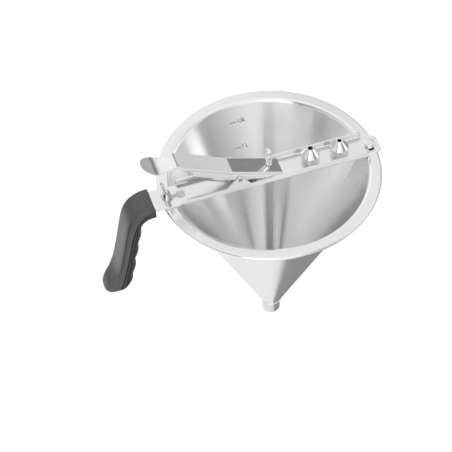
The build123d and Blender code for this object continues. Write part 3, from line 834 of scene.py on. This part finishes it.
@dataclass
class LeverAction:
    """Thumb lever, its pivot and spring, and the piston that it lifts."""

    lean: float = 0.40
    pivot: Point = (-32.5 * MM, 0.0, RIM + 15.8 * MM)
    wire: float = 1.2 * MM
    coil_radius: float = 2.4 * MM
    coil_pitch: float = 1.9 * MM
    coil_turns: int = 4
    turn_steps: int = 30
    coil_rear: float = 7.1 * MM
    floor_height: float = RIM + 1.5 * MM
    floor_room: float = 0.3 * MM
    floor_fall: float = 20.0
    floor_run: float = 14.0 * MM
    floor_bend: float = 9.0 * MM
    bend_steps: int = 8
    arm_slope: float = 26.5
    arm_leg: float = 24.0 * MM

    def build(self, wires: ShapeTree) -> None:
        """Dresses the lever's and piston's nodes and winds the spring.

        Args:
            wires: Tree that draws a round wire along a curve.
        """
        dress("lever", SHEET.material(lean=self.lean))
        dress("pivot_pin", TURNED.material(self.pivot[:2]))
        dress("piston_rod", GROUND.material())
        dress("piston_plug", TURNED.material())
        dress("rod_knob", POLISHED.material())
        spring = wires.make("wound_spring", self.spring_line(), WIRE.material(), Radius=self.wire / 2)
        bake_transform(spring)
        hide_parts("return_spring")
        LOG.info("%s bends from funnel to lever, %d faces", spring.name, len(spring.data.polygons))

    def coil_place(self, angle: float, first: float) -> Vector:
        """A place on the coil, which winds towards the front.

        Args:
            angle: Angle about the pivot, in radians.
            first: Angle where the coil starts.

        Returns:
            The place.
        """
        lead = self.coil_pitch * (angle - first) / TURN
        x, z = self.coil_radius * math.cos(angle), self.coil_radius * math.sin(angle)
        return Vector((self.pivot[0] + x, self.coil_rear - lead, self.pivot[2] + z))

    def coil_way(self, angle: float) -> Vector:
        """Direction of the coil's wire at an angle about the pivot, in radians."""
        lead, radius = self.coil_pitch / TURN, self.coil_radius
        return Vector((-radius * math.sin(angle), -lead, radius * math.cos(angle))).normalized()

    def spring_line(self) -> bpy.types.Curve:
        """The spring's wire line: leg on the bridge, bend, coil and leg under the arm.

        Returns:
            The curve.
        """
        fall = math.radians(self.floor_fall)
        first = fall - math.pi / 2
        last = math.pi / 2 - math.radians(self.arm_slope) + TURN * self.coil_turns
        coil_start = self.coil_place(first, first)
        way = self.coil_way(first)
        drop = coil_start.z - (self.floor_height + self.floor_room + self.wire / 2)
        corner = coil_start - way * (drop / way.z)
        back = Vector((-1.0, 0.0, 0.0))
        bend = self.floor_bend * math.sin(fall / 2)
        before, after = corner + back * bend, corner + way * bend
        points = [corner + back * self.floor_run]
        for step in range(self.bend_steps + 1):
            share = step / self.bend_steps
            rest = 1 - share
            points.append(before * rest ** 2 + corner * 2 * share * rest + after * share ** 2)
        steps = self.turn_steps * self.coil_turns
        turns = [first + (last - first) * step / steps for step in range(steps + 1)]
        points += [self.coil_place(turn, first) for turn in turns]
        points.append(points[-1] + self.coil_way(last) * self.arm_leg)
        return poly_line("spring_line", points)


class Half(Enum):
    """The handle's two mouldings."""

    BACK = "handle_back"
    GRIP = "handle_grip"


@dataclass(frozen=True)
class HandleCut:
    """One cut across the handle, in millimetres.

    Attributes:
        seam: Place (x, z) on the seam between the halves.
        back: Place on the outer line.
        grip: Place on the inner line, over the crests between the fingers.
        half_width: Half the width at the seam.
        back_power: Squareness of the outer half's outline, 2 for an ellipse.
        grip_power: Squareness of the inner half's outline.
        scoop: Depth of the hollow along each side of the outer half.
    """

    seam: Pair
    back: Pair
    grip: Pair
    half_width: float
    back_power: float
    grip_power: float
    scoop: float

    def numbers(self) -> Vector:
        """The cut as one row of numbers, to go smoothly from cut to cut."""
        sizes = (self.half_width, self.back_power, self.grip_power, self.scoop)
        return Vector((*self.seam, *self.back, *self.grip, *sizes))


@dataclass
class Handle:
    """Two moulded halves of the handle, swept through cuts from the tang to the butt."""

    cuts: tuple[HandleCut, ...] = tuple(HandleCut(*row) for row in (
        ((-114.5, 193.2), (-115.8, 200.4), (-114.5, 184.6), 13.0, 11.0, 7.0, 0.9),
        ((-121.0, 191.0), (-125.2, 199.4), (-118.0, 183.5), 13.0, 9.0, 4.5, 1.8),
        ((-126.7, 187.1), (-134.3, 195.0), (-121.8, 181.6), 13.0, 8.0, 3.2, 2.4),
        ((-131.0, 181.7), (-140.1, 187.4), (-125.6, 178.1), 13.0, 8.0, 2.6, 2.6),
        ((-134.1, 175.5), (-143.0, 179.2), (-127.6, 172.5), 13.0, 8.0, 2.4, 2.4),
        ((-138.1, 162.3), (-146.0, 164.0), (-128.2, 160.2), 13.0, 8.0, 2.4, 1.9),
        ((-142.2, 140.8), (-149.9, 142.4), (-132.2, 138.7), 13.0, 8.0, 2.4, 1.6),
        ((-147.3, 118.4), (-154.9, 120.3), (-136.1, 115.6), 13.0, 7.0, 2.4, 1.4),
        ((-150.0, 107.3), (-159.8, 110.0), (-138.6, 103.4), 13.0, 4.4, 2.4, 0.8),
        ((-152.4, 99.4), (-165.2, 102.0), (-142.6, 95.8), 13.0, 3.3, 2.4, 0.2),
        ((-154.6, 94.8), (-168.2, 95.0), (-147.2, 92.6), 12.8, 2.9, 2.4, 0.0),
        ((-156.4, 92.4), (-167.6, 90.8), (-151.9, 91.4), 10.8, 2.7, 2.4, 0.0),
        ((-158.0, 90.8), (-163.0, 89.3), (-156.0, 90.5), 7.2, 2.5, 2.4, 0.0),
        ((-159.0, 90.1), (-159.8, 89.8), (-158.4, 90.1), 0.6, 2.4, 2.4, 0.0),
    ))
    sections: int = 9
    side_steps: int = 26
    side_ease: float = 1.3  # over 1, steps crowd to the seam
    back_steps: int = 36
    fingers: tuple[Pair, ...] = ((151.0, 1.8), (129.5, 2.3), (109.0, 1.8))
    finger_half: float = 6.0
    scoop_start: float = 0.1
    scoop_span: float = 0.78
    scoop_ease: float = 1.8  # over 1, the hollow is deepest beyond its middle
    seam_gap: float = 0.1
    seam_round: float = 0.9
    seam_fade: float = 8.0  # half width under which the seam's rounding fades
    sharp: float = 40.0

    def build(self) -> None:
        """Moulds both halves, which stand for their CAD nodes."""
        finishes = {Half.BACK: MOULDED, Half.GRIP: SOFT_GRIP}
        for half, finish in finishes.items():
            piece = carry(self.moulding(half, finish.material()), "funnel")
            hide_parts(half.value)

    def cut_at(self, place: float) -> Vector:
        """The cut at a place between the named cuts.

        Args:
            place: Number of the cut, with a fraction.

        Returns:
            The cut's numbers.
        """
        last = len(self.cuts) - 1
        first = min(int(place), last - 1)
        share = place - first
        before, start, end, after = (
            self.cuts[min(max(first + step, 0), last)].numbers() for step in (-1, 0, 1, 2)
        )
        slope, next_slope = (end - before) / 2, (after - start) / 2
        bend = (end - start) * 3 - slope * 2 - next_slope
        twist = (start - end) * 2 + slope + next_slope
        return start + slope * share + bend * share ** 2 + twist * share ** 3

    def outline(self, numbers: Vector, half: Half) -> list[Vector]:
        """One half's outline in a cut, from the seam's rear edge round to its front edge.

        Args:
            numbers: The cut's numbers.
            half: Which half.

        Returns:
            The places.
        """
        seam_x, seam_z, back_x, back_z, grip_x, grip_z, width, power, grip_power, scoop = numbers
        seam, outer = Vector((seam_x, 0.0, seam_z)), Vector((back_x, 0.0, back_z))
        dip = 0.0
        if half is Half.GRIP:
            outer, power, scoop = Vector((grip_x, 0.0, grip_z)), grip_power, 0.0
            shares = ((deep, (outer.z - height) / self.finger_half) for height, deep in self.fingers)
            dip = sum(deep * math.exp(-(share ** 2)) for deep, share in shares)
        depth = (outer - seam).length
        way = (outer - seam) / depth
        depth -= dip
        corner = 0.5 ** (1 / power)
        side = [corner * (step / self.side_steps) ** self.side_ease for step in range(self.side_steps)]
        turns = [math.pi * step / self.back_steps for step in range(self.back_steps + 1)]
        rear = [(share, (1 - share ** power) ** (1 / power)) for share in side]
        across = [corner * math.cos(turn) for turn in turns]
        middle = [((1 - abs(share) ** power) ** (1 / power), share) for share in across]
        places = []
        for deep, wide in (*rear, *middle, *((deep, -wide) for deep, wide in reversed(rear))):
            run = deep * depth
            hollow = min(max((deep - self.scoop_start) / self.scoop_span, 0.0), 1.0) ** self.scoop_ease
            pull = scoop * math.sin(math.pi * hollow) ** 2
            rounded = self.seam_round * max(1 - run / self.seam_round, 0.0) ** 2
            pull += rounded * min(1.0, width / self.seam_fade)
            off = math.copysign(max(abs(wide) * width - pull * min(1.0, abs(wide) / corner), 0.0), wide)
            places.append((seam + way * (self.seam_gap + run) + Vector((0.0, off, 0.0))) * MM)
        return places

    def moulding(self, half: Half, material: Material) -> Piece:
        """Sweeps one half through its cuts.

        Args:
            half: Which half.
            material: Its finish.

        Returns:
            The piece.
        """
        count = (len(self.cuts) - 1) * self.sections + 1
        shell = bmesh.new()
        loops = []
        for step in range(count):
            outline = self.outline(self.cut_at(step / self.sections), half)
            loops.append([shell.verts.new(place) for place in outline])
        size = len(loops[0])
        shell.faces.new(loops[0])
        shell.faces.new(loops[-1][::-1])
        for low, high in zip(loops, loops[1:]):
            for k in range(size):
                after = (k + 1) % size
                shell.faces.new((low[k], high[k], high[after], low[after]))
        bmesh.ops.recalc_face_normals(shell, faces=shell.faces)
        return smooth_piece(f"moulded_{half.value}", shell, self.sharp, material)


@dataclass(frozen=True)
class Card:
    """Soft-edged card among the studio's walls, which shows as a streak in the steel.

    Attributes:
        light: Its brightness.
        heights: Where it starts, is full, fades and ends, as the upward share of a direction.
        turns: The same for the turn about the object, in radians.
    """

    light: float
    heights: Span
    turns: Span

    def share(self, sheet: NodeSheet, height: Socket, turn: Socket) -> Socket:
        """How far a direction lies in the card.

        Args:
            sheet: The surroundings' sheet.
            height: Upward share of the direction.
            turn: Turn of the direction about the object.

        Returns:
            The share's socket, from 0 to 1.
        """
        share: Any = 1.0
        for number, (start, full, fade, end) in ((height, self.heights), (turn, self.turns)):
            rise = sheet.ramp(number, start, full, soft=True)
            fall = sheet.ramp(number, fade, end, 1.0, 0.0, soft=True)
            share = sheet.math("MULTIPLY", share, sheet.math("MULTIPLY", rise, fall))
        return share


@dataclass
class Studio:
    """Pale floor, soft light all round and a camera at the photograph's angle."""

    floor_height: float = -0.11
    floor_reach: float = 12.0
    floor_patches: float = 1.5
    floor_tones: Pair = (0.95, 0.97)
    floor_roughness: float = 0.9
    floor_glow: float = 0.19
    eye: Point = (-427.5 * MM, -1303.0 * MM, 1736.4 * MM)
    forward: Point = (0.18243, 0.61986, -0.76321)
    right: Point = (0.95931, -0.28234, 0.0)
    roll: float = -0.0392
    focal_pixels: float = 2200.0
    image_pixels: float = 452.0
    sensor: float = 36.0
    far_clip: float = 100.0
    key_place: Point = (-1.5, -0.4, 2.1)
    key_aim: Point = (0.0, 0.0, 0.15)
    key_size: Pair = (1.6, 1.2)
    key_energy: float = 14.0
    ceiling: float = 0.96
    ceiling_edge: Pair = (0.80, 0.92)
    wall_edge: Pair = (0.16, 0.30)
    horizon: float = 0.86
    horizon_edge: Pair = (-0.06, 0.02)
    ground: float = 0.94
    shade: float = 0.28
    shade_edge: Pair = (-0.012, 0.018)
    shade_slant: float = 0.13
    shade_fade: Span = (-0.5, 0.1, 0.34, 1.0)
    seen: float = 0.97  # what the camera sees behind the object
    panels: tuple[Pair, ...] = (  # turn in degrees, brightness
        (-180, 1.0), (-171, 1.1), (-160, 1.9), (-141, 2.0), (-132, 0.27), (-118, 0.33),
        (-88, 0.57), (-53, 0.82), (-14, 1.10), (5, 0.98), (18, 0.86), (43, 0.88),
        (68, 0.90), (108, 0.69), (150, 0.76), (165, 0.95), (180, 1.0),
    )
    brightest: float = 2.0  # a colour ramp ends at 1, so it holds shares of this
    cards: tuple[Card, ...] = (
        Card(0.20, (0.25, 0.42, 0.58, 0.68), (0.25, 0.45, 0.88, 1.08)),
        Card(0.54, (-0.34, -0.22, 0.16, 0.30), (-1.75, -1.35, -0.45, -0.15)),
        Card(0.78, (0.10, 0.18, 0.38, 0.46), (-2.25, -2.10, -1.20, -0.90)),
        Card(0.36, (0.08, 0.16, 0.42, 0.50), (2.16, 2.28, 2.60, 2.74)),
        Card(1.25, (-0.02, 0.04, 0.24, 0.32), (1.45, 1.55, 2.05, 2.16)),
        Card(0.28, (-1.10, -1.05, -0.50, -0.30), (1.80, 2.05, 2.60, 2.80)),
    )

    def build(self) -> None:
        """Sets the floor, the light and the camera."""
        self.floor()
        self.surroundings()
        self.key_light()
        self.camera()
        bpy.context.scene.view_settings.view_transform = "Standard"

    def floor(self) -> None:
        """Lays the floor."""
        reach, height = self.floor_reach, self.floor_height
        corners = [(x * reach, y * reach, height) for x, y in ((-1, -1), (1, -1), (1, 1), (-1, 1))]
        mesh = bpy.data.meshes.new("floor")
        mesh.from_pydata(corners, [], [(0, 1, 2, 3)])
        material, sheet, shader = shader_sheet("pale_floor")
        tone = sheet.spread(sheet.noise(sheet.place(), self.floor_patches), *self.floor_tones)
        sheet.fill(
            shader, Base_Color=sheet.grey(tone), Roughness=self.floor_roughness, Specular_IOR_Level=0.0,
            Emission_Color=(1.0, 1.0, 1.0, 1.0), Emission_Strength=self.floor_glow,
        )
        mesh.materials.append(material)
        piece = new_piece("floor", mesh)
        piece.visible_glossy = False

    def surroundings(self) -> None:
        """Paints the light that comes from all round: ceiling, walls, horizon, ground and cards."""
        world = bpy.data.worlds.new("studio")
        bpy.context.scene.world = world
        world.use_nodes = True
        sheet = NodeSheet(world.node_tree)
        x, y, z = sheet.parts(sheet.add("ShaderNodeTexCoord").outputs["Generated"])
        turn = sheet.math("ARCTAN2", x, y)
        walls = self.panel_light(sheet, sheet.ramp(turn, -math.pi, math.pi))
        upper = sheet.mix(sheet.ramp(z, *self.wall_edge, soft=True), self.horizon, walls)
        upper = sheet.mix(sheet.ramp(z, *self.ceiling_edge, soft=True), upper, self.ceiling)
        side = sheet.math("ADD", x, sheet.math("MULTIPLY", z, self.shade_slant))
        edge = sheet.ramp(side, *self.shade_edge, soft=True)
        dark = sheet.math("MULTIPLY", edge, sheet.ramp(y, *self.shade_fade))
        lower = sheet.mix(dark, self.ground, self.shade)
        tone = sheet.mix(sheet.ramp(z, *self.horizon_edge, soft=True), lower, upper)
        for card in self.cards:
            tone = sheet.mix(card.share(sheet, z, turn), tone, card.light)
        straight = sheet.add("ShaderNodeLightPath").outputs["Is Camera Ray"]
        colour = sheet.grey(sheet.mix(straight, tone, self.seen))
        light = sheet.add("ShaderNodeBackground", Color=colour).outputs[0]
        sheet.add("ShaderNodeOutputWorld", Surface=light)

    def panel_light(self, sheet: NodeSheet, share: Socket) -> Socket:
        """Brightness of the soft panels that stand round the object.

        Args:
            sheet: The surroundings' sheet.
            share: Turn about the object, from 0 to 1.

        Returns:
            The brightness.
        """
        node = sheet.add("ShaderNodeValToRGB", Fac=share)
        stops = node.color_ramp.elements
        while len(stops) < len(self.panels):
            stops.new(0.5)
        for stop, (angle, light) in zip(stops, self.panels):
            stop.position = (angle + 180.0) / 360.0
            stop.color = (*[light / self.brightest] * 3, 1.0)
        return sheet.math("MULTIPLY", node.outputs[0], self.brightest)

    def key_light(self) -> None:
        """Hangs a large soft light to the upper left."""
        light = bpy.data.lights.new("key_light", "AREA")
        light.shape = "RECTANGLE"
        light.size, light.size_y = self.key_size
        light.energy = self.key_energy
        lamp = new_piece("key_light", light)
        lamp.visible_glossy = False
        place = Vector(self.key_place)
        aim = (Vector(self.key_aim) - place).to_track_quat("-Z", "Y")
        lamp.matrix_world = Matrix.Translation(place) @ aim.to_matrix().to_4x4()

    def camera(self) -> None:
        """Sets the camera where the photograph was taken."""
        ahead, right = Vector(self.forward).normalized(), Vector(self.right).normalized()
        above = right.cross(ahead)
        turned = right * math.cos(self.roll) + above * math.sin(self.roll)
        upright = above * math.cos(self.roll) - right * math.sin(self.roll)
        data = bpy.data.cameras.new("camera")
        data.sensor_width = self.sensor
        data.lens = self.focal_pixels * self.sensor / self.image_pixels
        data.clip_end = self.far_clip
        eye = new_piece("camera", data)
        turn = Matrix((turned, upright, -ahead)).transposed().to_4x4()
        eye.matrix_world = Matrix.Translation(Vector(self.eye)) @ turn
        bpy.context.scene.camera = eye


def main() -> None:
    """Builds the object's sub-assemblies and the studio, in order."""
    logging.basicConfig(level=logging.INFO, format="%(message)s")
    wires = wire_tree()
    FunnelBowl().build(wires)
    Bridge().build(thread_tree())
    LeverAction().build(wires)
    Handle().build()
    Studio().build()


if __name__ == "__main__":
    main()
